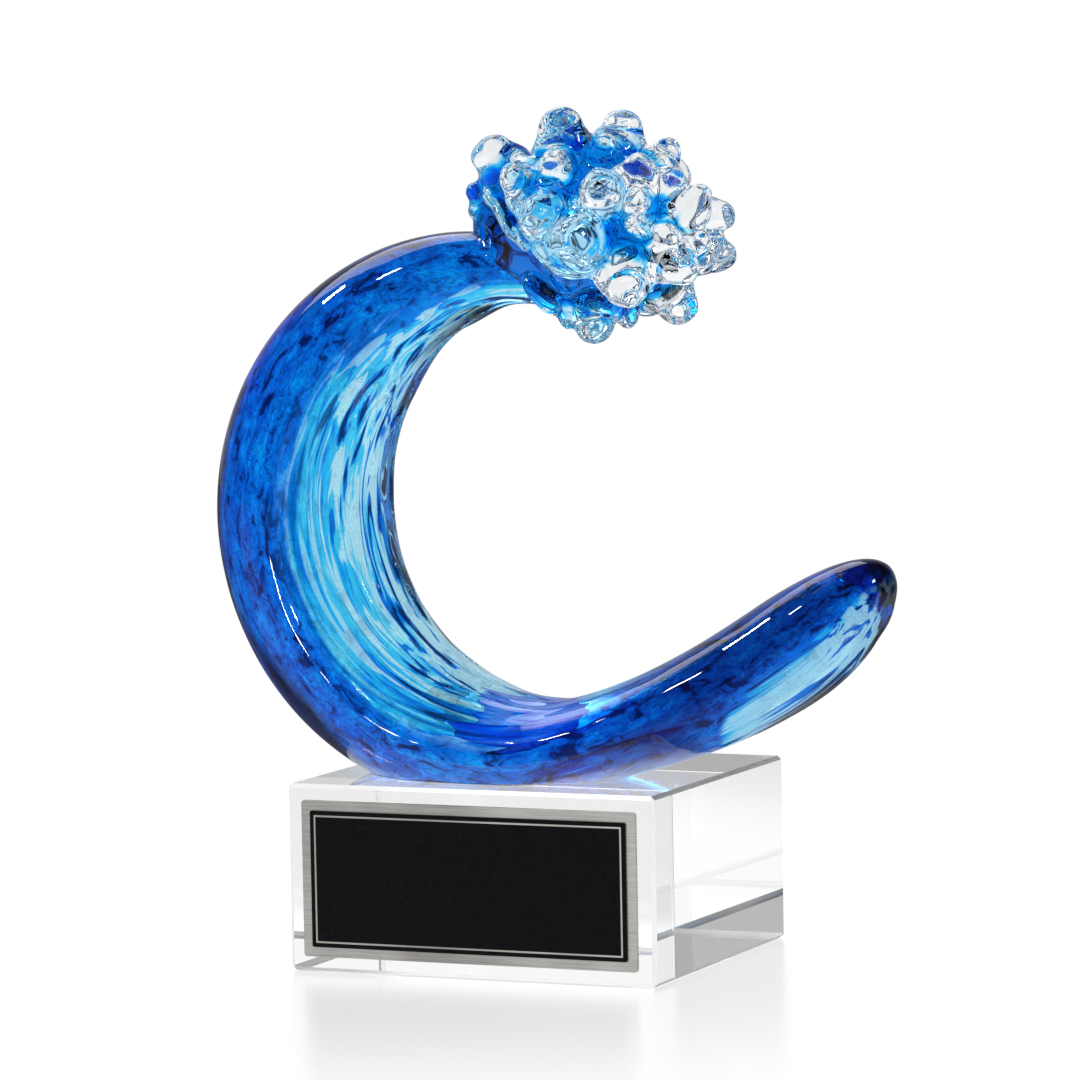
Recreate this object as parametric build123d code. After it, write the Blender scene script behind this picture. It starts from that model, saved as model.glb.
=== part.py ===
"""Glass wave sculpture: a curled glass arm with a knobbed crest, glued to a clear block with a blank plate.

Millimetres and degrees. The origin is the centre of the block's underside, +Z is up, the plate faces -Y
and the open side of the curl faces +X.
"""

from build123d import *
from math import cos, radians, sin, sqrt
import os

# Base block of optical glass
base_width = 102.0
base_depth = 89.0
base_height = 48.5
base_chamfer = 1.0

# Blank plate on the front of the block: tape, brushed backing, black panel and an inlaid line
plate_margin_side = 4.5
plate_margin_edge = 4.0
tape_inset = 2.0
tape_thickness = 0.3
backing_thickness = 1.0
backing_corner = 0.8
panel_inset = 2.6
panel_thickness = 0.5
panel_corner = 0.5
line_inset = 1.1
line_width = 0.45
line_depth = 0.2

# Adhesive film under the arm's ground foot
film_thickness = 0.15

# Curl: a round arc seen from the front, from the end inside the crest down to the foot
wave_forward = 12.0
curl_radius = 62.0
curl_center_x = 2.0
foot_rise = 7.0
curl_start_angle = 80.0
neck_angle = 94.0
belly_angle = 187.0
curl_end_angle = 282.0
curl_stations = 15

# Arm sections across the curl and through it, front to back
neck_width = 18.4
neck_depth = 24.0
belly_width = 47.0
belly_depth = 44.0
foot_width = 22.9
foot_depth = 52.0

# Tail: a flatter arc that goes on from the foot, swells and closes in a round tip
tail_radius = 175.0
tail_length = 101.0
tail_swell = 65.0
tail_width = 28.0
tail_depth = 34.0
tail_stations = 4
tip_stations = 5

# Clear glass along the inside of the curl and under the tail; the rest of the arm is blue
clear_inset = 6.0
clear_shift_x = -2.0
clear_shift_z = 1.5
tail_clear_start = 33.0
tail_clear_drop = 5.5

# Crest: an egg of blue glass gathered over the arm's end, with a clear lip over the top of the joint
crest_ahead = 6.8
crest_cover = 1.9
crest_tilt_angle = -2.5
crest_back = 28.0
crest_front = 35.5
crest_radius = 22.5
lip_thickness = 1.2
lip_lap = 2.2
lip_drop = 4.0

# Clear knobs, set by hand all over the crest: angle from its axis, turn round it, radius of the head
knob_places = [
    (132, -26, 5.5),
    (152, -39, 2.6),
    (94, -20, 5.2),
    (92, -81, 5.2),
    (109, -56, 3.9),
    (89, -44, 3.4),
    (66, -63, 5.2),
    (75, -95, 5.7),
    (75, 6, 5.5),
    (74, -20, 2.9),
    (54, 13, 3.9),
    (54, -42, 4.7),
    (41, -33, 3.6),
    (24, -46, 4.9),
    (18, 56, 3.9),
    (50, -65, 3.1),
    (48, -83, 2.9),
    (35, -92, 2.9),
    (15, -103, 3.1),
    (57, -127, 5.2),
    (77, -164, 4.9),
    (88, -158, 2.9),
    (67, 178, 3.1),
    (58, 175, 2.1),
    (33, -122, 5.2),
    (19, 134, 4.7),
    (46, 170, 4.9),
    (112, 30, 5.2),
    (86, 48, 4.6),
    (60, 50, 5.0),
    (36, 78, 4.4),
    (75, 82, 5.4),
    (104, 70, 5.0),
    (55, 107, 4.9),
    (90, 115, 5.2),
    (70, 140, 4.8),
    (100, 150, 4.4),
    (128, 60, 4.2),
    (120, 105, 4.6),
]
knob_lift_ratio = 0.6
knob_sink_ratio = 0.4
knob_root_ratio = 1.3
knob_neck_angle = 10.0

# Places that follow from the sizes above
base_top = base_height
foot_level = base_top + film_thickness
wave_y = -wave_forward
curl_center_z = foot_level + foot_rise + curl_radius
front_y = -base_depth / 2
plate_width = base_width - 2 * plate_margin_side
plate_height = base_height - 2 * plate_margin_edge
crest_axis = Vector(cos(radians(crest_tilt_angle)), 0, sin(radians(crest_tilt_angle)))
crest_up = Vector(-sin(radians(crest_tilt_angle)), 0, cos(radians(crest_tilt_angle)))
crest_above = crest_radius - neck_width / 2 - crest_cover
reach = 4 * (curl_radius + tail_length)


def polar(center_x, center_z, radius, angle):
    """A point in the wave's own upright plane."""
    return Vector(
        center_x + radius * cos(radians(angle)),
        wave_y,
        center_z + radius * sin(radians(angle)),
    )


def curl_point(angle):
    """The arm's middle line round the curl."""
    return polar(curl_center_x, curl_center_z, curl_radius, angle)


def crest_center():
    """The crest's widest place, set over the arm's end so that glass covers the end all round."""
    return curl_point(curl_start_angle) + Vector(crest_ahead, 0, crest_above)


def tail_angle(distance):
    """Direction from the tail's own centre after this distance along the tail."""
    return curl_end_angle + distance / radians(tail_radius)


def tail_point(distance):
    """The arm's middle line along the tail, which leaves the curl smoothly."""
    shift = curl_radius - tail_radius
    center = polar(curl_center_x, curl_center_z, shift, curl_end_angle)
    return polar(center.X, center.Z, tail_radius, tail_angle(distance))


def quarter_wave(start, end, share):
    """Falls from start to end as a quarter of a cosine, so it is level at the start."""
    share = min(max(share, 0.0), 1.0)
    return end + (start - end) * cos(radians(90 * share))


def smooth_step(start, end, share):
    """Goes from start to end, level at both."""
    share = min(max(share, 0.0), 1.0)
    return start + (end - start) * share * share * (3 - 2 * share)


def curl_size(angle):
    """Width and depth of the arm on the curl: widest at the belly."""
    if angle < belly_angle:
        share = (belly_angle - angle) / (belly_angle - neck_angle)
        ends = (neck_width, neck_depth)
    else:
        share = (angle - belly_angle) / (curl_end_angle - belly_angle)
        ends = (foot_width, foot_depth)
    return (
        quarter_wave(belly_width, ends[0], share),
        quarter_wave(belly_depth, ends[1], share),
    )


def tail_size(distance):
    """Width and depth of the tail: it swells, then closes like the end of an egg."""
    share = distance / tail_swell
    width = smooth_step(foot_width, tail_width, share)
    depth = smooth_step(foot_depth, tail_depth, share)
    past = max(distance - tail_swell, 0.0) / (tail_length - tail_swell)
    closing = sqrt(max(1 - past * past, 0.0))
    return width * closing, depth * closing


def arm_section(point, angle, size, swell):
    """An oval across the arm, on the plane square to its middle line."""
    inward = Vector(-cos(radians(angle)), 0, -sin(radians(angle)))
    along = Vector(-sin(radians(angle)), 0, cos(radians(angle)))
    plane = Plane(origin=point, x_dir=inward, z_dir=along)
    return plane * Ellipse(size[0] / 2 + swell, size[1] / 2 + swell)


def arm_form(swell=0.0):
    """The whole arm before its foot is ground, lofted from the crest end to the tip."""
    sections = []
    for i in range(curl_stations + 1):
        angle = curl_start_angle + (curl_end_angle - curl_start_angle) * i / curl_stations
        sections.append(arm_section(curl_point(angle), angle, curl_size(angle), swell))
    for i in range(1, tail_stations + tip_stations):
        if i <= tail_stations:
            distance = tail_swell * i / tail_stations
        else:
            share = sin(radians(90 * (i - tail_stations) / tip_stations))
            distance = tail_swell + (tail_length - tail_swell) * share
        sections.append(arm_section(tail_point(distance), tail_angle(distance), tail_size(distance), swell))
    tip = tail_point(tail_length + swell)
    return loft(sections + [Vertex(tip.X, tip.Y, tip.Z)])


def slab(low, high):
    """A wide flat slab between two heights."""
    return Pos(0, 0, low) * Box(reach, reach, high - low, align=(Align.CENTER, Align.CENTER, Align.MIN))


def under_tail():
    """Everything below the plane from the tail's underside to its tip."""
    angle = tail_angle(tail_clear_start)
    outward = Vector(cos(radians(angle)), 0, sin(radians(angle)))
    start = tail_point(tail_clear_start) + outward * (tail_size(tail_clear_start)[0] / 2)
    tip_angle = tail_angle(tail_length)
    tip_outward = Vector(cos(radians(tip_angle)), 0, sin(radians(tip_angle)))
    end = tail_point(tail_length) + tip_outward * tail_clear_drop
    along = (end - start).normalized()
    plane = Plane(origin=start, x_dir=along, z_dir=Vector(0, 1, 0).cross(along) * -1)
    below = Box(reach, reach, reach, align=(Align.MIN, Align.CENTER, Align.MAX))
    return plane * below


def inside_curl(inset, shift_x=0.0, shift_z=0.0):
    """The round space inside the arm's middle line, this far in from it."""
    center = Vector(curl_center_x + shift_x, wave_y, curl_center_z + shift_z)
    plane = Plane(origin=center, x_dir=(1, 0, 0), z_dir=(0, 1, 0))
    return plane * Cylinder(curl_radius - inset, reach)


def crest_form(swell=0.0):
    """The crest's core: an egg on its tilted axis, blunt towards the arm. Swell adds to it all round."""
    upper = Rectangle(reach, reach, align=(Align.CENTER, Align.MIN))
    ahead = Rectangle(reach, reach, align=(Align.MIN, Align.MIN))
    front = Ellipse(crest_front + swell, crest_radius + swell) & ahead
    back = Ellipse(crest_back + swell, crest_radius + swell) & (upper - ahead)
    plane = Plane(origin=crest_center(), x_dir=crest_axis, z_dir=(0, -1, 0))
    return revolve(plane * (front + back), Axis(crest_center(), crest_axis))


def knob_seat(polar_angle, turn):
    """Plane on the crest's surface, facing out, at an angle from the axis and a turn round it."""
    around = crest_up * cos(radians(turn)) + Vector(0, 1, 0) * sin(radians(turn))
    along, across = cos(radians(polar_angle)), sin(radians(polar_angle))
    half_length = crest_front if along > 0 else crest_back
    point = crest_center() + crest_axis * (half_length * along) + around * (crest_radius * across)
    outward = crest_axis * (along / half_length) + around * (across / crest_radius)
    return Plane(origin=point, z_dir=outward.normalized())


def knob_form(radius):
    """A drawn drop of glass: a round head on a short waisted root, standing on its own XY plane."""
    head_height = knob_lift_ratio * radius
    angle = radians(knob_neck_angle)
    waist = Vector(radius * cos(angle), head_height - radius * sin(angle))
    root = Vector(knob_root_ratio * radius, -knob_sink_ratio * radius)
    head = CenterArc((0, head_height), radius, -knob_neck_angle, 90 + knob_neck_angle)
    flare = TangentArc(waist, root, tangent=Vector(-sin(angle), -cos(angle)))
    under = Line(root, (0, root.Y))
    middle = Line((0, root.Y), (0, head_height + radius))
    profile = make_face([head, flare, under, middle])
    return revolve(Plane.XZ * profile, Axis.Z)


def crest_knobs(core):
    """Every knob, seated on the core and butted against the knobs set before it."""
    knobs = []
    seats = []
    for polar_angle, turn, radius in knob_places:
        seat = knob_seat(polar_angle, turn)
        knob = seat * knob_form(radius) - core
        for other, (other_seat, other_radius) in zip(knobs, seats):
            if (seat.origin - other_seat).length < knob_root_ratio * (radius + other_radius):
                knob = knob - other
        knobs.append(knob)
        seats.append((seat.origin, radius))
    return knobs


def base_block():
    """The clear block, with every edge bevelled."""
    block = Box(base_width, base_depth, base_height, align=(Align.CENTER, Align.CENTER, Align.MIN))
    return chamfer(block.edges(), base_chamfer)


def plate_sheet(inset, corner, back_y, thickness):
    """A flat sheet on the front of the block, inset from the plate's outline, its back face at back_y."""
    width = plate_width - 2 * inset
    height = plate_height - 2 * inset
    plane = Plane(origin=(0, back_y, base_height / 2), x_dir=(1, 0, 0), z_dir=(0, -1, 0))
    outline = RectangleRounded(width, height, corner) if corner else Rectangle(width, height)
    return extrude(plane * outline, thickness)


def plate_parts():
    """Tape, backing, panel and inlaid line, each seated on the one behind it."""
    backing_y = front_y - tape_thickness
    panel_y = backing_y - backing_thickness
    line_y = panel_y - panel_thickness + line_depth
    line_outside = panel_inset + line_inset
    line_inside = line_outside + line_width
    panel = plate_sheet(panel_inset, panel_corner, panel_y, panel_thickness)
    line = plate_sheet(line_outside, 0, line_y, line_depth) - plate_sheet(line_inside, 0, line_y, line_depth)
    return {
        "plate_tape": plate_sheet(tape_inset, 0, front_y, tape_thickness),
        "plate_backing": plate_sheet(0, backing_corner, backing_y, backing_thickness),
        "plate_panel": panel - line,
        "plate_border_line": line,
    }


def wave_parts(core):
    """The arm's three glasses, the film that holds its foot, and the crest's core and lip on its end."""
    form = arm_form()
    film = form & slab(base_top, foot_level)
    arm = form & slab(foot_level, reach)
    clear_space = inside_curl(clear_inset, clear_shift_x, clear_shift_z)
    arm_rest = arm - clear_space
    lip = (crest_form(lip_lap) & arm_form(lip_thickness)) - core - form
    return {
        "wave_blue_body": arm_rest - under_tail(),
        "curl_clear_face": arm & clear_space,
        "tail_clear_face": arm_rest & under_tail(),
        "foot_adhesive": film,
        "crest_core": core - form,
        "crest_lip": lip - inside_curl(lip_drop),
    }


def main():
    core = crest_form()
    nodes = {"base_block": base_block()}
    nodes.update(plate_parts())
    nodes.update(wave_parts(core))
    for number, knob in enumerate(crest_knobs(core), 1):
        nodes[f"crest_knob_{number:02d}"] = knob
    os.makedirs("parts", exist_ok=True)
    for name, shape in nodes.items():
        export_step(shape, f"parts/{name}.step")
    print(len(nodes), "nodes")


main()
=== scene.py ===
import math
import bpy
from mathutils import Matrix, Vector, kdtree, noise


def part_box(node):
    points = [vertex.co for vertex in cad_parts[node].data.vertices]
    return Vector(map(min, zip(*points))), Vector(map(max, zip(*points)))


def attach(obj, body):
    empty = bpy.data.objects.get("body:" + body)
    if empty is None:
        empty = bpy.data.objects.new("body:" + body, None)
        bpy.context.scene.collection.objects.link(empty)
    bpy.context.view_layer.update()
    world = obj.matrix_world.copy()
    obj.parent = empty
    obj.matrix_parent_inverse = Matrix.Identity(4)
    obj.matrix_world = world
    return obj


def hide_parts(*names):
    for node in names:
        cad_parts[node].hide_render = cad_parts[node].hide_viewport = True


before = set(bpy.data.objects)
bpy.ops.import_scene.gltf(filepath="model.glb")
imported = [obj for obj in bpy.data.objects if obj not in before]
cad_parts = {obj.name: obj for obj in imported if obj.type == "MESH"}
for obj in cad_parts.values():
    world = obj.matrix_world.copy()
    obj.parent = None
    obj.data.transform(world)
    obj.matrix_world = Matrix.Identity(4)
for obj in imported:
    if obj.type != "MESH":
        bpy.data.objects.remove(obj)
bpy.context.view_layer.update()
mm = 0.001
flat = 0.99  # a normal this square to an axis counts as flat
noise.seed_set(23)
print("frame in")


def deselect():
    if bpy.context.object and bpy.context.object.mode != "OBJECT":
        bpy.ops.object.mode_set(mode="OBJECT")
    bpy.ops.object.select_all(action="DESELECT")


def pick(piece):
    deselect()
    piece.select_set(True)
    bpy.context.view_layer.objects.active = piece


def editAll(piece):
    pick(piece)
    bpy.ops.object.mode_set(mode="EDIT")
    bpy.ops.mesh.select_all(action="SELECT")


def applyAll(piece):
    pick(piece)
    for step in list(piece.modifiers):
        bpy.ops.object.modifier_apply(modifier=step.name)


def faceOut(piece):
    editAll(piece)
    bpy.ops.mesh.normals_make_consistent(inside=False)
    bpy.ops.object.mode_set(mode="OBJECT")


def finishPiece(piece, nodes):
    pick(piece)
    bpy.ops.object.shade_smooth()
    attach(piece, "root")
    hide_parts(*nodes)


def between(low, high, value):
    share = min(max((value - low) / (high - low), 0.0), 1.0)
    return share * share * (3 - 2 * share)


def cosSin(degrees):
    return math.cos(math.radians(degrees)), math.sin(math.radians(degrees))


# arm: sizes in mm, angles in degrees; drawn straight, then laid round the curl
arm = {
    "forward": 12.0,  # towards the plate
    "curlX": 2.0,
    "curlRadius": 62.0,
    "footRise": 7.15,
    "startAngle": 80.0,
    "neckAngle": 94.0,
    "bellyAngle": 187.0,
    "endAngle": 282.0,
    "splitAngle": 20.0,  # a place below this angle belongs to the tail
    "neck": (18.4, 24.0),  # across the middle line, then front to back
    "belly": (47.0, 44.0),
    "foot": (22.9, 52.0),
    "tail": (28.0, 34.0),
    "tailRadius": 175.0,
    "tailLength": 101.0,
    "tailSwell": 65.0,
    "tipGap": 0.05,
    "thinnest": 0.15,
    "film": 0.15,  # under the foot
    "grind": 0.05,
    "footBand": 0.1,  # faces this low are ground
    "sides": 72,
    "curlSteps": 52,
    "tailSteps": 14,
    "tipSteps": 12,
}

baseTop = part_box("base_block")[1].z / mm
footLevel = baseTop + arm["film"]
curlCentre = Vector((arm["curlX"], 0, baseTop + arm["footRise"] + arm["curlRadius"]))
curlLength = arm["curlRadius"] * math.radians(arm["endAngle"] - arm["startAngle"])
endCos, endSin = cosSin(arm["endAngle"])
tailCentre = curlCentre + (arm["curlRadius"] - arm["tailRadius"]) * Vector((endCos, 0, endSin))


def armSize(along):
    if along <= curlLength:
        angle = arm["startAngle"] + math.degrees(along / arm["curlRadius"])
        if angle < arm["bellyAngle"]:
            end = arm["neck"]
            share = (arm["bellyAngle"] - angle) / (arm["bellyAngle"] - arm["neckAngle"])
        else:
            end = arm["foot"]
            share = (angle - arm["bellyAngle"]) / (arm["endAngle"] - arm["bellyAngle"])
        swell = math.cos(math.pi / 2 * min(max(share, 0.0), 1.0))
        return [e + (b - e) * swell for e, b in zip(end, arm["belly"])]
    past = along - curlLength
    share = between(0, arm["tailSwell"], past)
    closing = max(past - arm["tailSwell"], 0.0) / (arm["tailLength"] - arm["tailSwell"])
    close = math.sqrt(max(1 - closing * closing, 0.0))
    return [(f + (t - f) * share) * close for f, t in zip(arm["foot"], arm["tail"])]


def skinSize(along):
    return [max(v / 2, arm["thinnest"]) for v in armSize(along)]


def layAlong(x, y, along):
    # straight place to place on the curl or the tail
    if along <= curlLength:
        centre, radius = curlCentre, arm["curlRadius"]
        angle = math.radians(arm["startAngle"]) + along / radius
    else:
        centre, radius = tailCentre, arm["tailRadius"]
        angle = math.radians(arm["endAngle"]) + (along - curlLength) / radius
    reach = radius - x
    return Vector((centre.x + reach * math.cos(angle),
                   y - arm["forward"],
                   centre.z + reach * math.sin(angle)))


def straighten(place):
    # and back again: in from the middle line, across, and along
    turn = math.degrees(math.atan2(place.z - curlCentre.z, place.x - curlCentre.x)) % 360
    if arm["splitAngle"] < turn <= arm["endAngle"]:
        reach = math.hypot(place.x - curlCentre.x, place.z - curlCentre.z)
        along = arm["curlRadius"] * math.radians(turn - arm["startAngle"])
        return Vector((arm["curlRadius"] - reach, place.y + arm["forward"], along))
    turn = math.degrees(math.atan2(place.z - tailCentre.z, place.x - tailCentre.x)) % 360
    reach = math.hypot(place.x - tailCentre.x, place.z - tailCentre.z)
    along = curlLength + arm["tailRadius"] * math.radians(turn - arm["endAngle"])
    return Vector((arm["tailRadius"] - reach, place.y + arm["forward"], along))


def stations():
    places = [curlLength * i / arm["curlSteps"] for i in range(arm["curlSteps"] + 1)]
    places += [curlLength + arm["tailSwell"] * i / arm["tailSteps"]
               for i in range(1, arm["tailSteps"] + 1)]
    rest = arm["tailLength"] - arm["tailSwell"]
    places += [curlLength + arm["tailSwell"] + rest * math.sin(math.pi / 2 * i / arm["tipSteps"])
               for i in range(1, arm["tipSteps"])]
    places.append(curlLength + arm["tailLength"] - arm["tipGap"])
    return places


def drawStraight(name, places, sizeAt):
    # one ring, drawn out from station to station
    deselect()
    bpy.ops.mesh.primitive_circle_add(vertices=arm["sides"], radius=mm, fill_type="NGON")
    piece = bpy.context.object
    piece.name = name
    sizes = [sizeAt(p) for p in places]
    editAll(piece)
    bpy.ops.transform.translate(value=(0, 0, places[0] * mm))
    bpy.ops.transform.resize(value=(*sizes[0], 1), center_override=(0, 0, places[0] * mm))
    for i in range(1, len(places)):
        step = (places[i] - places[i - 1]) * mm
        bpy.ops.mesh.extrude_region_move(TRANSFORM_OT_translate={"value": (0, 0, step)})
        grow = (sizes[i][0] / sizes[i - 1][0], sizes[i][1] / sizes[i - 1][1], 1)
        bpy.ops.transform.resize(value=grow, center_override=(0, 0, places[i] * mm))
    bpy.ops.object.mode_set(mode="OBJECT")
    piece.modifiers.new("round", "SUBSURF").levels = 1
    applyAll(piece)
    return piece


# relief on the skin: heights in mm, and width, length and shift of each noise
relief = {
    "foldHeight": 0.9,
    "peelHeight": 0.03,
    "folds": (5.0, 55.0, 0.0),
    "fineFolds": (2.4, 30.0, 9.0),
    "fineShare": 0.5,
    "peel": (2.6, 5.0, 40.0),
    "middle": 0.5,  # nearer the middle line than this nothing moves
    "endFade": 6.0,
    "curlSide": (-6, 10),  # in from the middle line
    "curlEase": (-70, -20),  # along, past the end of the curl
    "curlEaseShare": 0.35,
    "curlStop": (15, 45),
    "tailSide": (-2, -11),
    "tailStart": (25, 55),
    "tailShare": 0.8,
}


def foldShare(x, past):
    # the inner side of the curl, the underside of the tail
    curl = between(*relief["curlSide"], x)
    curl *= 1 - relief["curlEaseShare"] * between(*relief["curlEase"], past)
    curl *= 1 - between(*relief["curlStop"], past)
    tail = relief["tailShare"] * between(*relief["tailSide"], x)
    return curl + tail * between(*relief["tailStart"], past)


def reliefNoise(x, y, along, width, length, shift):
    return noise.noise(Vector((x / width, y / width, along / length + shift)))


def foldAndLay(piece, folds, peel):
    # lengthwise folds, orange peel on the rest, then round the curl
    for v in piece.data.vertices:
        x, y, along = v.co / mm
        out = Vector((x, y, 0))
        if out.length > relief["middle"]:
            inner = foldShare(x, along - curlLength)
            long = reliefNoise(x, y, along, *relief["folds"])
            long += relief["fineShare"] * reliefNoise(x, y, along, *relief["fineFolds"])
            fine = reliefNoise(x, y, along, *relief["peel"])
            end = between(0.0, relief["endFade"], out.length)
            out = out.normalized() * (folds * inner * long + peel * (1 - inner) * fine) * end
            x, y = x + out.x, y + out.y
        v.co = layAlong(x, y, along) * mm
    faceOut(piece)
    return piece


def grindFoot(piece, level):
    editAll(piece)
    bpy.ops.mesh.bisect(plane_co=(0, 0, level * mm), plane_no=(0, 0, 1),
                        use_fill=True, clear_inner=True)
    bpy.ops.object.mode_set(mode="OBJECT")


skin = drawStraight("wave_glass", stations(), skinSize)
skin = foldAndLay(skin, relief["foldHeight"], relief["peelHeight"])
grindFoot(skin, footLevel + arm["grind"])
print("arm", len(skin.data.polygons))

# crest: knobs, drawn folds and the lip on an egg
crest = {
    "centre": (19.6, -12.0, 190.15),
    "tilt": -2.5,
    "front": 35.5,
    "back": 28.0,
    "radius": 22.5,
    "lift": 0.66,
    "rootSize": 1.45,
    "rootSink": 0.45,
    "sink": 3.2,
    "foldSteps": 6,
    "foldSink": 0.5,
    "lipBalls": 60,
    "lipSize": 2.3,
    "lipRise": 0.9,
    "lipDepth": -1.0,  # height over the egg where the lip lies
    "lipOpen": 0.3,  # no lip where the cosine is over this
    "lipStep": 0.25,
    "lipClear": 5.5,
    "eggDetail": 40,
    "knobDetail": 24,
    "ridgeDetail": 10,
    "voxel": 0.6,
    "smoothing": (0.6, 14),
    "lastSmoothing": (0.5, 4),
    "wobble": 0.6,
    "wobbleSize": 8,
    "fineWobble": 0.4,
    "swirl": 1.6,
    "swirlSize": 10,
    # angle from the axis, turn round it, head radius
    "knobs": [
        (132, -26, 5.5), (152, -39, 2.6), (94, -20, 5.2), (92, -81, 5.2), (109, -56, 3.9),
        (89, -44, 3.4), (66, -63, 5.2), (75, -95, 5.7), (75, 6, 5.5), (74, -20, 2.9),
        (54, 13, 3.9), (54, -42, 4.7), (41, -33, 3.6), (24, -46, 4.9), (18, 56, 3.9),
        (50, -65, 3.1), (48, -83, 2.9), (35, -92, 2.9), (15, -103, 3.1), (57, -127, 5.2),
        (77, -164, 4.9), (88, -158, 2.9), (67, 178, 3.1), (58, 175, 2.1), (33, -122, 5.2),
        (19, 134, 4.7), (46, 170, 4.9), (112, 30, 5.2), (86, 48, 4.6), (60, 50, 5.0),
        (36, 78, 4.4), (75, 82, 5.4), (104, 70, 5.0), (55, 107, 4.9), (90, 115, 5.2),
        (70, 140, 4.8), (100, 150, 4.4), (128, 60, 4.2), (120, 105, 4.6),
    ],
    # drawn folds between the knobs: radius, how clear, then angle and turn along it
    "folds": [
        (2.6, 3.0, (133, -17), (102, -44), (85, -51)),
        (3.0, 3.0, (113, -69), (99, -79), (88, -90)),
        (2.8, 3.0, (75, -72), (68, -60), (65, -48)),
        (2.2, 4.0, (93, -103), (88, -112), (81, -117), (71, -119), (62, -117)),
        (2.4, 3.0, (67, -126), (58, -134), (49, -150)),
        (3.0, 3.0, (95, -159), (91, -176), (81, -178)),
        (2.2, 4.0, (146, -29), (154, -46), (160, -76)),
        (1.8, 5.0, (140, -58), (126, -76), (113, -92), (100, -106)),
        (3.6, -1.0, (101, -136), (99, -146), (95, -159)),
        (1.8, 0.0, (102, -56), (85, -64), (71, -78), (48, -74)),
        (2.6, 3.0, (118, 30), (100, 52), (82, 62)),
        (2.2, 3.0, (76, 108), (62, 128), (46, 140)),
        (2.4, 3.0, (108, 128), (92, 100), (80, 98)),
        (2.0, 3.0, (58, 30), (46, 56), (40, 90)),
    ],
}

tiltCos, tiltSin = cosSin(crest["tilt"])
crestAxis = Vector((tiltCos, 0, tiltSin))
crestUp = Vector((-crestAxis.z, 0, crestAxis.x))
crestAcross = Vector((0, 1, 0))
crestCentre = Vector(crest["centre"])


def eggPoint(angle, turn):
    up, aside = cosSin(turn)
    around = crestUp * up + crestAcross * aside
    along, across = cosSin(angle)
    half = crest["front"] if along > 0 else crest["back"]
    place = crestCentre + crestAxis * half * along + around * crest["radius"] * across
    out = crestAxis * (along / half) + around * (across / crest["radius"])
    return place, out.normalized()


def eggHeight(place):
    # rough height over the egg's surface
    away = place - crestCentre
    along = away.dot(crestAxis)
    across = (away - crestAxis * along).length
    half = crest["front"] if along > 0 else crest["back"]
    share = math.hypot(along / half, across / crest["radius"])
    return (share - 1) * away.length / max(share, 0.01)


def ball(place, radius, detail):
    deselect()
    bpy.ops.mesh.primitive_uv_sphere_add(segments=detail * 2, ring_count=detail,
                                         radius=radius * mm, location=place * mm)
    bpy.ops.object.transform_apply(location=True, rotation=True, scale=True)
    return bpy.context.object


def egg(name, front, back, radius):
    piece = ball(Vector((0, 0, 0)), 1.0, crest["eggDetail"])
    piece.name = name
    for v in piece.data.vertices:
        x, y, z = v.co / mm
        half = front if x > 0 else back
        place = crestCentre + crestAxis * x * half + crestAcross * y * radius
        v.co = (place + crestUp * z * radius) * mm
    return piece


def joinUp(pieces, name):
    deselect()
    for piece in pieces:
        piece.select_set(True)
    bpy.context.view_layer.objects.active = pieces[0]
    bpy.ops.object.join()
    pieces[0].name = name
    return pieces[0]


def smoothing(piece, name, factor, rounds):
    step = piece.modifiers.new(name, "SMOOTH")
    step.factor = factor
    step.iterations = rounds


def ridgePoints():
    # the folds, and the lip where the egg laps over the arm
    points = []
    steps = crest["foldSteps"]
    for radius, clear, *path in crest["folds"]:
        for (a, b), (c, d) in zip(path, path[1:]):
            for i in range(steps):
                place, out = eggPoint(a + (c - a) * i / steps, b + (d - b) * i / steps)
                points.append((place - out * radius * crest["foldSink"], radius, clear))
    for i in range(crest["lipBalls"]):
        turn = 2 * math.pi * i / crest["lipBalls"]
        if math.cos(turn) > crest["lipOpen"]:
            continue
        along = 0.0
        place = crestCentre
        while eggHeight(place) < crest["lipDepth"]:
            along += crest["lipStep"]
            width, depth = (v / 2 + crest["lipRise"] for v in armSize(along))
            place = layAlong(width * math.cos(turn), depth * math.sin(turn), along)
        points.append((place, crest["lipSize"], crest["lipClear"]))
    return points


def makeCrest():
    sink = crest["sink"]
    parts = [egg("crestBody", crest["front"] - sink, crest["back"], crest["radius"] - sink)]
    for angle, turn, radius in crest["knobs"]:
        place, out = eggPoint(angle, turn)
        root = place - out * crest["rootSink"] * radius
        parts.append(ball(place + out * crest["lift"] * radius, radius, crest["knobDetail"]))
        parts.append(ball(root, crest["rootSize"] * radius, crest["knobDetail"]))
    for place, radius, _ in ridgePoints():
        parts.append(ball(place, radius, crest["ridgeDetail"]))
    piece = joinUp(parts, "crestBody")
    blend = piece.modifiers.new("blend", "REMESH")
    blend.mode = "VOXEL"
    blend.voxel_size = crest["voxel"] * mm
    smoothing(piece, "soft", *crest["smoothing"])
    applyAll(piece)
    outward = [v.normal.copy() for v in piece.data.vertices]
    for v, out in zip(piece.data.vertices, outward):
        at = v.co / mm
        size = crest["wobbleSize"]
        push = noise.noise(at / size) + crest["fineWobble"] * noise.noise(at / (size / 2))
        swirl = noise.noise_vector(at / crest["swirlSize"]) * crest["swirl"]
        v.co += (out * push * crest["wobble"] + swirl) * mm
    smoothing(piece, "last", *crest["lastSmoothing"])
    applyAll(piece)
    return piece


top = makeCrest()
print("crest", len(top.data.polygons))

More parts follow.
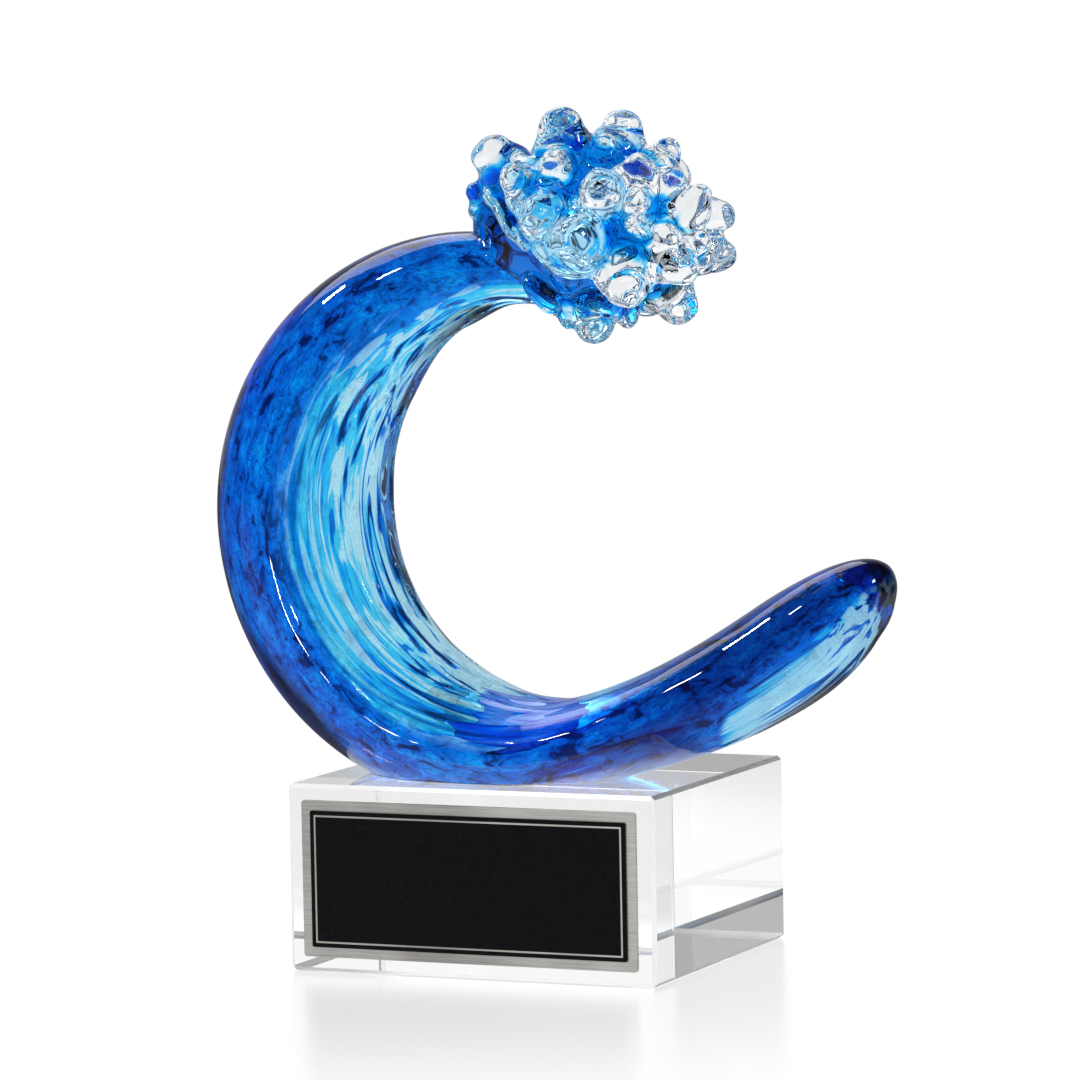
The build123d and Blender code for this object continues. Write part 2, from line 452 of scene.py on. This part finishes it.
# colour: where the blue lies on the skin, lengths in mm past the end of the curl
blueLay = {
    "curlMost": 0.68,
    "neckReach": (20, 75),  # along from the crest
    "neckGain": 0.6,
    "neckShift": 0.18,
    "footReach": (-5, 50),
    "footGain": 0.5,
    "turnOver": (28, 55),
    "underLeast": 0.20,
    "underMiddle": 0.62,
    "underSlope": 5.0,
    "underStart": (28, 62),
    "underGain": 1.2,
    "underMost": 1.1,
    "tipLine": (85, 97),
    "tipSide": (-6, 2),
    "tipBlue": 0.9,
    "ridgeFade": (1.7, 0.8),  # in radii of the fold
}


def blueShare(at):
    # low is clear, high is blue
    width, depth = armSize(min(max(at.z, 0.0), curlLength + arm["tailLength"] - 0.5))
    around = math.atan2(abs(at.y) / depth, at.x / width) / math.pi
    past = at.z - curlLength
    under = blueLay["underLeast"] + (blueLay["underMiddle"] - around) * blueLay["underSlope"]
    under += blueLay["underGain"] * (1 - between(*blueLay["underStart"], past))
    under = min(under, blueLay["underMost"])
    neck = 1 - between(*blueLay["neckReach"], at.z)
    over = around * (1 + blueLay["neckGain"] * neck) - blueLay["neckShift"] * neck
    over = min(over, blueLay["curlMost"])
    over += blueLay["footGain"] * between(*blueLay["footReach"], past)
    blue = over + (under - over) * between(*blueLay["turnOver"], past)
    tip = between(*blueLay["tipLine"], past) * between(*blueLay["tipSide"], at.x)
    return max(blue, blueLay["tipBlue"] * tip)


def storeLay(piece):
    # straight coordinates, the blue and the height over the egg, for the materials
    flow, lay, inEgg = [], [], []
    ridges = ridgePoints()
    near = kdtree.KDTree(len(ridges))
    for i, ridge in enumerate(ridges):
        near.insert(ridge[0], i)
    near.balance()
    for v in piece.data.vertices:
        place = v.co / mm
        at = straighten(place)
        _, i, away = near.find(place)
        _, radius, clear = ridges[i]
        height = eggHeight(place) + clear * between(*blueLay["ridgeFade"], away / radius)
        apart = place - crestCentre
        flow.extend(at)
        lay.extend((blueShare(at), at.y, height))
        inEgg.extend((apart.dot(crestAxis), apart.y, apart.dot(crestUp)))
    for name, values in (("flow", flow), ("lay", lay), ("egg", inEgg)):
        made = piece.data.attributes.new(name, "FLOAT_VECTOR", "POINT")
        made.data.foreach_set("vector", values)


def grey(level):
    return (level, level, level)


black, white = grey(0.0), grey(1.0)


def blankMaterial(name):
    made = bpy.data.materials.new(name)
    made.use_nodes = True
    return made, made.node_tree, made.node_tree.nodes["Principled BSDF"]


def mathNode(tree, kind, *values):
    node = tree.nodes.new("ShaderNodeMath")
    node.operation = kind
    for socket, value in zip(node.inputs, values):
        if isinstance(value, (int, float)):
            socket.default_value = value
        else:
            tree.links.new(value, socket)
    return node.outputs[0]


def noiseNode(tree, vector, scale, detail, roughness=0.5, distortion=0.0):
    place = tree.nodes.new("ShaderNodeMapping")
    place.inputs["Scale"].default_value = scale
    tree.links.new(vector, place.inputs["Vector"])
    node = tree.nodes.new("ShaderNodeTexNoise")
    node.inputs["Scale"].default_value = 1.0
    node.inputs["Detail"].default_value = detail
    node.inputs["Roughness"].default_value = roughness
    node.inputs["Distortion"].default_value = distortion
    tree.links.new(place.outputs[0], node.inputs["Vector"])
    return node.outputs[0]


def rampNode(tree, value, stops, mode="LINEAR"):
    node = tree.nodes.new("ShaderNodeValToRGB")
    node.color_ramp.interpolation = mode
    while len(node.color_ramp.elements) < len(stops):
        node.color_ramp.elements.new(0.5)
    for element, (place, colour) in zip(node.color_ramp.elements, stops):
        element.position = place
        element.color = (*colour, 1)
    tree.links.new(value, node.inputs[0])
    return node.outputs[0]


def mixColour(tree, kind, share, first, second):
    node = tree.nodes.new("ShaderNodeMix")
    node.data_type = "RGBA"
    node.blend_type = kind
    for number, value in ((0, share), (6, first), (7, second)):
        if isinstance(value, (int, float)):
            node.inputs[number].default_value = value
        elif isinstance(value, tuple):
            node.inputs[number].default_value = (*value, 1)
        else:
            tree.links.new(value, node.inputs[number])
    return node.outputs[2]


def attributeNode(tree, name):
    node = tree.nodes.new("ShaderNodeAttribute")
    node.attribute_name = name
    return node.outputs["Vector"]


def splitNode(tree, vector):
    node = tree.nodes.new("ShaderNodeSeparateXYZ")
    tree.links.new(vector, node.inputs[0])
    return node.outputs


def dotNode(tree, vector, way):
    node = tree.nodes.new("ShaderNodeVectorMath")
    node.operation = "DOT_PRODUCT"
    tree.links.new(vector, node.inputs[0])
    node.inputs[1].default_value = way
    return node.outputs["Value"]


def objectPlace(tree):
    return tree.nodes.new("ShaderNodeTexCoord").outputs["Object"]


def deepened(tree, colour, power):
    node = tree.nodes.new("ShaderNodeGamma")
    tree.links.new(colour, node.inputs["Color"])
    tree.links.new(power, node.inputs["Gamma"])
    return node.outputs[0]


def glass(shader, index=1.5, rough=0.0):
    shader.inputs["Transmission Weight"].default_value = 1.0
    shader.inputs["Roughness"].default_value = rough
    shader.inputs["IOR"].default_value = index
    shader.inputs["Base Color"].default_value = (1, 1, 1, 1)


# noises are scale, detail, roughness, distortion; colours run from clear to deep blue
armLook = {
    "through": 0.95,
    "gloss": 0.2,
    "colours": [
        (0.00, (0.98, 0.99, 1.0)),
        (0.10, (0.80, 0.97, 1.0)),
        (0.22, (0.14, 0.77, 1.0)),
        (0.34, (0.04, 0.60, 1.0)),
        (0.40, (0.003, 0.32, 0.92)),
        (0.48, (0.001, 0.24, 0.88)),
        (0.80, (0.001, 0.17, 0.68)),
        (1.00, (0.001, 0.08, 0.40)),
    ],
    "streaks": ((0.16, 0.16, 0.014), 3.0, 0.55, 0.5),
    "streakShift": 0.8,
    "fineStreaks": ((0.45, 0.45, 0.035), 5.0, 0.65, 0.5),
    "fineShift": 0.6,
    "clear": [(0.30, white), (0.48, black)],
    "threads": ((0.34, 0.34, 0.011), 2.5, 0.5, 1.2),
    "threadTints": [
        ([(0.54, black), (0.565, white)], (0.004, 0.24, 0.82)),
        ([(0.445, white), (0.465, black)], (0.98, 0.99, 1.0)),
        ([(0.60, black), (0.63, white)], (0.001, 0.04, 0.16)),
    ],
    "outer": [(0.36, black), (0.52, white)],
    "specks": ((0.30, 0.30, 0.13), 5.0, 0.65, 0.8),
    "speckTints": [
        (0.39, (0.04, 0.10, 0.20)),
        (0.45, (0.65, 0.75, 0.90)),
        (0.52, (1.0, 1.0, 1.0)),
        (0.66, (1.0, 1.9, 1.3)),
    ],
    "curls": ((0.42, 0.42, 0.17), 4.0, 0.6, 2.2),
    "curlTints": [(0.006, (0.03, 0.08, 0.15)), (0.020, white)],
    "frontToBack": 0.05,
    "depth": [(0.3, grey(0.95)), (0.7, grey(0.12))],  # deep in front, pale at the back
    "deepening": 2.0,
}


def armGlass():
    made, tree, shader = blankMaterial("arm glass")
    glass(shader)
    shader.inputs["Transmission Weight"].default_value = armLook["through"]
    shader.inputs["Specular IOR Level"].default_value = armLook["gloss"]
    flow = attributeNode(tree, "flow")
    around, across, _ = splitNode(tree, attributeNode(tree, "lay"))
    edge = around
    for size, gain in (("streaks", "streakShift"), ("fineStreaks", "fineShift")):
        streaks = noiseNode(tree, flow, *armLook[size])
        shift = mathNode(tree, "MULTIPLY_ADD", streaks, armLook[gain], -armLook[gain] / 2)
        edge = mathNode(tree, "ADD", edge, shift)
    colour = rampNode(tree, edge, armLook["colours"])
    # blue, white and navy threads in the clear glass
    clear = rampNode(tree, around, armLook["clear"])
    threads = noiseNode(tree, flow, *armLook["threads"])
    for stops, tint in armLook["threadTints"]:
        share = mathNode(tree, "MULTIPLY", rampNode(tree, threads, stops), clear)
        colour = mixColour(tree, "MIX", share, colour, tint)
    # specks and curled lines in the blue
    dark = rampNode(tree, noiseNode(tree, flow, *armLook["specks"]), armLook["speckTints"])
    curls = mathNode(tree, "SUBTRACT", noiseNode(tree, flow, *armLook["curls"]), 0.5)
    lines = rampNode(tree, mathNode(tree, "ABSOLUTE", curls), armLook["curlTints"])
    dark = mixColour(tree, "MULTIPLY", 1.0, dark, lines)
    outer = rampNode(tree, around, armLook["outer"])
    colour = mixColour(tree, "MULTIPLY", outer, colour, dark)
    side = mathNode(tree, "MULTIPLY_ADD", across, armLook["frontToBack"], 0.5)
    side = rampNode(tree, side, armLook["depth"])
    colour = deepened(tree, colour, mathNode(tree, "MULTIPLY", side, armLook["deepening"]))
    tree.links.new(colour, shader.inputs["Base Color"])
    return made


# from blue in the valleys to clear on the heads
crestLook = {
    "gloss": 0.3,
    "colours": [
        (0.00, (0.001, 0.29, 0.78)),
        (0.14, (0.003, 0.38, 0.94)),
        (0.26, (0.06, 0.62, 1.0)),
        (0.36, (0.75, 0.93, 1.0)),
        (0.44, (0.98, 0.99, 1.0)),
    ],
    "patches": ((0.10, 0.17, 0.17), 3.0, 0.55, 1.0),
    "patchMiddle": 0.48,
    "heightGain": 0.11,
    "heightStart": 0.04,
    "alongGain": 0.003,
    "frontToBack": 0.03,
    "back": [(0.35, black), (0.65, white)],
    "backGain": 0.34,  # clearer at the back
    "deepening": 2.6,
    "backDeepening": -1.6,
}


def crestGlass():
    made, tree, shader = blankMaterial("crest glass")
    glass(shader)
    shader.inputs["Specular IOR Level"].default_value = crestLook["gloss"]
    inEgg = attributeNode(tree, "egg")
    along, across, _ = splitNode(tree, inEgg)
    over = splitNode(tree, attributeNode(tree, "lay"))[2]
    patches = noiseNode(tree, inEgg, *crestLook["patches"])
    back = mathNode(tree, "MULTIPLY_ADD", across, crestLook["frontToBack"], 0.5)
    back = rampNode(tree, back, crestLook["back"])
    height = mathNode(tree, "MULTIPLY_ADD", over,
                      crestLook["heightGain"], crestLook["heightStart"])
    for more in (
        mathNode(tree, "MULTIPLY", along, crestLook["alongGain"]),
        mathNode(tree, "SUBTRACT", patches, crestLook["patchMiddle"]),
        mathNode(tree, "MULTIPLY", back, crestLook["backGain"]),
    ):
        height = mathNode(tree, "ADD", height, more)
    colour = rampNode(tree, height, crestLook["colours"])
    power = mathNode(tree, "MULTIPLY_ADD", back,
                     crestLook["backDeepening"], crestLook["deepening"])
    tree.links.new(deepened(tree, colour, power), shader.inputs["Base Color"])
    return made


deepTint = (0.0136, 0.709, 0.981)


def deepBlue(name, density):
    # colours the light without bending it
    made, tree, shader = blankMaterial(name)
    glass(shader, 1.0)
    soak = tree.nodes.new("ShaderNodeVolumeAbsorption")
    soak.inputs["Color"].default_value = (*deepTint, 1)
    soak.inputs["Density"].default_value = density
    tree.links.new(soak.outputs[0], tree.nodes["Material Output"].inputs["Volume"])
    return made


def clearGlass(name, index, rough=0.0):
    made, _, shader = blankMaterial(name)
    glass(shader, index, rough)
    return made


def grainMaterial(name, scale, detail, stops, rough):
    made, tree, shader = blankMaterial(name)
    colour = rampNode(tree, noiseNode(tree, objectPlace(tree), grey(scale), detail), stops)
    tree.links.new(colour, shader.inputs["Base Color"])
    shader.inputs["Roughness"].default_value = rough
    return made, tree, shader, colour


foot = {
    "grain": 120,
    "tints": [(0.3, (0.005, 0.12, 0.55)), (0.7, (0.02, 0.24, 0.80))],
    "rough": 0.7,
    "glow": 0.6,  # painted light: the foot glows as if lit through the block, though it is no lamp
}


def groundFoot():
    made, tree, shader, colour = grainMaterial(
        "ground foot", foot["grain"], 4.0, foot["tints"], foot["rough"])
    # painted light: the foot's own blue is given as a glow, standing in for the light that
    # reaches it through the block
    tree.links.new(colour, shader.inputs["Emission Color"])
    shader.inputs["Emission Strength"].default_value = foot["glow"]
    return made


# arm and crest made one
materials = (armGlass(), crestGlass(), groundFoot())
for piece in (skin, top):
    piece.data.materials.clear()
    for material in materials:
        piece.data.materials.append(material)
for face in top.data.polygons:
    face.material_index = 1
weld = skin.modifiers.new("weld", "BOOLEAN")
weld.operation = "UNION"
weld.object = top
weld.solver = "MANIFOLD"
applyAll(skin)
bpy.data.objects.remove(top)
for face in skin.data.polygons:
    if face.normal.z < -flat and face.center.z < (footLevel + arm["footBand"]) * mm:
        face.material_index = 2
storeLay(skin)
knobNodes = [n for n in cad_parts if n.startswith("crest_knob")]
finishPiece(skin, ["curl_clear_face", "tail_clear_face", "crest_lip", *knobNodes])
print("wave", len(skin.data.polygons))

# blue inside the crest
crestBlue = {
    "frontLess": 20,
    "backLess": 6,
    "radiusLess": 10,
    "density": 35,
}

core = egg("crest_colour", crest["front"] - crestBlue["frontLess"],
           crest["back"] - crestBlue["backLess"], crest["radius"] - crestBlue["radiusLess"])
core.data.materials.append(deepBlue("crest blue", crestBlue["density"]))
finishPiece(core, ["crest_core"])

# blue inside the arm: the outer half of the curl, the upper half of the tail
armBlue = {
    "inset": 2.0,
    "start": 20.0,
    "startRound": 18.0,
    "tipGap": 8.0,
    "curlCut": -0.3,  # in half widths; the curl keeps what lies outside it
    "tailCut": -0.2,  # the tail keeps what lies above it
    "turnOver": (-25, 25),
    "footGap": 1.0,
    "density": 30,
}


def blueSize(along):
    start, rounding = armBlue["start"], armBlue["startRound"]
    share = between(start - rounding, start + rounding, along) ** 0.5
    return [max((v / 2 - armBlue["inset"]) * share, arm["thinnest"]) for v in armSize(along)]


def cutHalf(x, y, along):
    # cut flat, with the points of each ring kept in order
    half = armSize(along)[0] / 2
    wide, deep = blueSize(along)
    turned = between(*armBlue["turnOver"], along - curlLength)
    low = half * ((1 + armBlue["tailCut"]) * turned - 1) / wide
    high = half * ((1 - armBlue["curlCut"]) * turned + armBlue["curlCut"]) / wide
    lowAngle, highAngle = math.acos(max(low, -0.999)), math.acos(min(high, 0.999))
    angle = math.atan2(y / deep, x / wide)
    if abs(angle) < highAngle:
        share = angle / highAngle
        return wide * math.cos(highAngle), deep * math.sin(highAngle) * share
    if abs(angle) > lowAngle:
        share = math.copysign((math.pi - abs(angle)) / (math.pi - lowAngle), angle)
        return wide * math.cos(lowAngle), deep * math.sin(lowAngle) * share
    return x, y


blueEnd = curlLength + arm["tailLength"] - armBlue["tipGap"]
places = [p for p in stations() if armBlue["start"] <= p < blueEnd]
body = drawStraight("wave_colour", places, blueSize)
for v in body.data.vertices:
    x, y, along = v.co / mm
    v.co = Vector((*cutHalf(x, y, along), along)) * mm
foldAndLay(body, 0.0, 0.0)
grindFoot(body, footLevel + armBlue["footGap"])
body.data.materials.append(deepBlue("arm blue", armBlue["density"]))
finishPiece(body, ["wave_blue_body"])
print("colour in")

# tape, a hair off the block so that it can be seen through it
tape = {
    "gap": 0.06,
    "corner": 1.0,
    "cornerSteps": 5,
    "grain": 1500,
    "tints": [(0.35, (0.025, 0.025, 0.026)), (0.65, (0.05, 0.05, 0.052))],
    "rough": 0.7,
}

tapeLow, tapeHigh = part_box("plate_tape")
deselect()
bpy.ops.mesh.primitive_plane_add(size=1, rotation=(math.pi / 2, 0, 0))
bpy.ops.object.transform_apply(location=True, rotation=True, scale=True)
sheet = bpy.context.object
sheet.name = "tape_sheet"
editAll(sheet)
bpy.ops.transform.resize(value=(tapeHigh.x - tapeLow.x, 1, tapeHigh.z - tapeLow.z))
tapeBack = tapeHigh.y - tape["gap"] * mm
bpy.ops.transform.translate(value=(0, tapeBack, (tapeLow.z + tapeHigh.z) / 2))
bpy.ops.mesh.bevel(offset=tape["corner"] * mm, segments=tape["cornerSteps"], affect="VERTICES")
thick = tapeHigh.y - tapeLow.y - tape["gap"] * mm
bpy.ops.mesh.extrude_region_move(TRANSFORM_OT_translate={"value": (0, -thick, 0)})
bpy.ops.object.mode_set(mode="OBJECT")
faceOut(sheet)
sheet.data.materials.append(
    grainMaterial("tape", tape["grain"], 3.0, tape["tints"], tape["rough"])[0])
finishPiece(sheet, ["plate_tape"])

# block, plate and film keep their shapes
block = {
    "index": 1.52,
    "bevelRough": 0.45,
    "filmIndex": 1.45,
}

plate = {
    "steel": ((0.26, 0.25, 0.24), (0.60, 0.59, 0.56)),
    "line": ((0.34, 0.33, 0.31), (0.52, 0.51, 0.48)),
    "brushing": ((60, 60, 9000), 3.0, 0.7),
    "brushRough": [(0.3, grey(0.28)), (0.7, grey(0.45))],
    "sheen": ((28, 28, 9), 2.0),
    "sheenTints": [(0.35, grey(0.55)), (0.65, white)],
    "metal": 0.9,
    "panelGrain": 900,
    "panelTints": [(0.3, (0.0030, 0.0034, 0.0038)), (0.7, (0.0055, 0.006, 0.0066))],
    "panelRough": 0.3,
    "panelGloss": 0.03,
}


def brushedSteel(name, dull, bright):
    made, tree, shader = blankMaterial(name)
    at = objectPlace(tree)
    lines = noiseNode(tree, at, *plate["brushing"])
    colour = rampNode(tree, lines, [(0.3, dull), (0.7, bright)])
    sheen = rampNode(tree, noiseNode(tree, at, *plate["sheen"]), plate["sheenTints"])
    colour = mixColour(tree, "MULTIPLY", 1.0, colour, sheen)
    rough = rampNode(tree, lines, plate["brushRough"])
    tree.links.new(colour, shader.inputs["Base Color"])
    tree.links.new(rough, shader.inputs["Roughness"])
    shader.inputs["Metallic"].default_value = plate["metal"]
    return made


def blackPanel():
    made, _, shader, _ = grainMaterial(
        "black panel", plate["panelGrain"], 3.0, plate["panelTints"], plate["panelRough"])
    shader.inputs["Specular IOR Level"].default_value = plate["panelGloss"]
    return made


def paint(node, material):
    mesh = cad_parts[node].data
    mesh.materials.clear()
    mesh.materials.append(material)
    return mesh


blockMesh = paint("base_block", clearGlass("block glass", block["index"]))
blockMesh.materials.append(clearGlass("ground bevel", block["index"], block["bevelRough"]))
for face in blockMesh.polygons:
    face.material_index = 1 if max(abs(v) for v in face.normal) < flat else 0
paint("plate_backing", brushedSteel("brushed steel", *plate["steel"]))
paint("plate_panel", blackPanel())
paint("plate_border_line", brushedSteel("silver line", *plate["line"]))
paint("foot_adhesive", clearGlass("film", block["filmIndex"]))
print("plate in")

# studio: white to the camera, panels with dark gaps to the glass
camera = {
    "azimuth": 23.76,
    "elevation": 4.85,
    "roll": -1.06,
    "distance": 1.535,
    "target": (0.00175, 0.0, 0.1085),
    "lens": 196.9,
    "sensor": 36,
    "clip": (0.05, 20),
}

studio = {
    "floorSize": 6.0,
    "floorDrop": 0.0002,
    "floorLevel": 0.92,
    "floorInGloss": 0.12,
    "floorSeen": 1.02,
    "floorShine": 0.30,
    "floorRough": 0.22,
    "shineMiddle": 0.3,
    "shineStart": (0.20, 0.25),
    "shineNear": 0.06,
    "shineFar": 0.27,
    "panels": 4.0,
    "panelLevel": 1.0,
    "gapLevel": 0.02,
    "gapWidth": 0.32,
    "panelFoot": [(0.22, black), (0.40, white)],
    "topFrom": [(0.70, black), (0.85, white)],
    "topLevel": 0.8,
    "frontFrom": (0.32, 0.60),
    "frontLevel": 0.45,
    "glossFrom": (0.55, 0.95),
    "glossLevel": 0.05,
    "glossBehind": 0.42,
    "lampDistance": 0.9,
}

# azimuth, elevation, size, power, aim
lamps = {
    "keyLeft": (-86, 39, (0.08, 0.10), 2.0, (-0.05, -0.03, 0.17)),
    "keyTail": (-54, 46, (0.03, 0.08), 0.7, (0.06, -0.03, 0.075)),
    "low": (-29, -5, (0.02, 0.02), 0.12, (-0.055, -0.03, 0.095)),
    "right": (75, 28, (0.10, 0.16), 1.0, (0.03, -0.02, 0.18)),
    "overhead": (-130, 46, (0.8, 0.45), 2.4, (0.0, -0.01, 0.12)),
}


def wayTo(azimuth, elevation):
    a, e = math.radians(azimuth), math.radians(elevation)
    return Vector((math.sin(a) * math.cos(e), -math.cos(a) * math.cos(e), math.sin(e)))


def mirrored(tree, path):
    # sharp reflections only, not rays that came through glass
    through = mathNode(tree, "SUBTRACT", 1.0, path["Is Transmission Ray"])
    return mathNode(tree, "MULTIPLY", path["Is Singular Ray"], through)


def floorMaterial():
    made, tree, _ = blankMaterial("floor")
    path = tree.nodes.new("ShaderNodeLightPath").outputs
    ahead = dotNode(tree, objectPlace(tree), wayTo(camera["azimuth"], 0))
    middle = studio["shineMiddle"]
    fade = rampNode(tree, mathNode(tree, "ADD", ahead, middle), [
        (studio["shineStart"][0], black),
        (studio["shineStart"][1], white),
        (middle + studio["shineNear"], white),
        (middle + studio["shineFar"], black),
    ], "EASE")
    share = mathNode(tree, "MULTIPLY", fade, studio["floorShine"])
    seen = mathNode(tree, "SUBTRACT", studio["floorSeen"], share)
    level = mixColour(tree, "MIX", path["Is Camera Ray"], grey(studio["floorLevel"]), seen)
    level = mixColour(tree, "MIX", mirrored(tree, path), level, grey(studio["floorInGloss"]))
    glow = tree.nodes.new("ShaderNodeEmission")
    tree.links.new(level, glow.inputs["Color"])
    shine = tree.nodes.new("ShaderNodeBsdfGlossy")
    shine.inputs["Roughness"].default_value = studio["floorRough"]
    tree.links.new(share, shine.inputs["Color"])
    both = tree.nodes.new("ShaderNodeAddShader")
    tree.links.new(glow.outputs[0], both.inputs[0])
    tree.links.new(shine.outputs[0], both.inputs[1])
    tree.links.new(both.outputs[0], tree.nodes["Material Output"].inputs["Surface"])
    return made


def lightRing(tree, at):
    # panels with dark gaps between them, plain white low down, a softer top
    x, y, z = splitNode(tree, at)
    turn = mathNode(tree, "ARCTAN2", x, y)
    turn = mathNode(tree, "ADD", turn, math.radians(camera["azimuth"]))
    ring = mathNode(tree, "COSINE", mathNode(tree, "MULTIPLY", turn, studio["panels"]))
    panel = rampNode(tree, mathNode(tree, "MULTIPLY_ADD", ring, 0.5, 0.5), [
        (studio["gapWidth"] * 0.5, grey(studio["gapLevel"])),
        (studio["gapWidth"] * 1.5, grey(studio["panelLevel"])),
    ])
    raised = rampNode(tree, z, studio["panelFoot"])
    light = mixColour(tree, "MIX", raised, grey(studio["panelLevel"]), panel)
    return mixColour(tree, "MIX", rampNode(tree, z, studio["topFrom"]),
                     light, grey(studio["topLevel"]))


def studioWorld():
    world = bpy.data.worlds.new("studio")
    world.use_nodes = True
    tree = world.node_tree
    path = tree.nodes.new("ShaderNodeLightPath").outputs
    at = tree.nodes.new("ShaderNodeTexCoord").outputs["Generated"]
    light = lightRing(tree, at)
    behind = dotNode(tree, at, -wayTo(camera["azimuth"], 0))
    front = rampNode(tree, mathNode(tree, "MULTIPLY_ADD", behind, 0.5, 0.5), [
        (studio["frontFrom"][0], grey(studio["frontLevel"])),
        (studio["frontFrom"][1], white),
    ])
    light = mixColour(tree, "MULTIPLY", path["Is Transmission Ray"], light, front)
    gloss = rampNode(tree, behind, [
        (studio["glossFrom"][0], grey(studio["glossLevel"])),
        (studio["glossFrom"][1], grey(studio["glossBehind"])),
    ])
    light = mixColour(tree, "MIX", mirrored(tree, path), light, gloss)
    light = mixColour(tree, "MIX", path["Is Camera Ray"], light, white)
    tree.links.new(light, tree.nodes["Background"].inputs["Color"])
    tree.nodes["Background"].inputs["Strength"].default_value = 1.0
    return world


def addLamp(name, azimuth, elevation, size, power, aim):
    way = wayTo(azimuth, elevation)
    deselect()
    bpy.ops.object.light_add(type="AREA", location=Vector(aim) + way * studio["lampDistance"])
    made = bpy.context.object
    made.name = name
    made.rotation_euler = way.to_track_quat("Z", "Y").to_euler()
    made.data.shape = "RECTANGLE"
    made.data.size, made.data.size_y = size
    made.data.energy = power


def addCamera():
    away = wayTo(camera["azimuth"], camera["elevation"])
    right = Vector((*cosSin(camera["azimuth"]), 0))
    up = away.cross(right)
    rollCos, rollSin = cosSin(camera["roll"])
    side = right * rollCos + up * rollSin
    over = up * rollCos - right * rollSin
    deselect()
    bpy.ops.object.camera_add()
    made = bpy.context.object
    made.matrix_world = Matrix((side, over, away)).transposed().to_4x4()
    made.location = Vector(camera["target"]) + away * camera["distance"]
    made.data.lens = camera["lens"]
    made.data.sensor_width = camera["sensor"]
    made.data.clip_start, made.data.clip_end = camera["clip"]
    return made


deselect()
bpy.ops.mesh.primitive_plane_add(size=studio["floorSize"], location=(0, 0, -studio["floorDrop"]))
floor = bpy.context.object
floor.name = "floor"
floor.data.materials.append(floorMaterial())
bpy.context.scene.world = studioWorld()
for name, values in lamps.items():
    addLamp(name, *values)
bpy.context.scene.camera = addCamera()
bpy.context.scene.view_settings.view_transform = "Standard"
print("studio in")
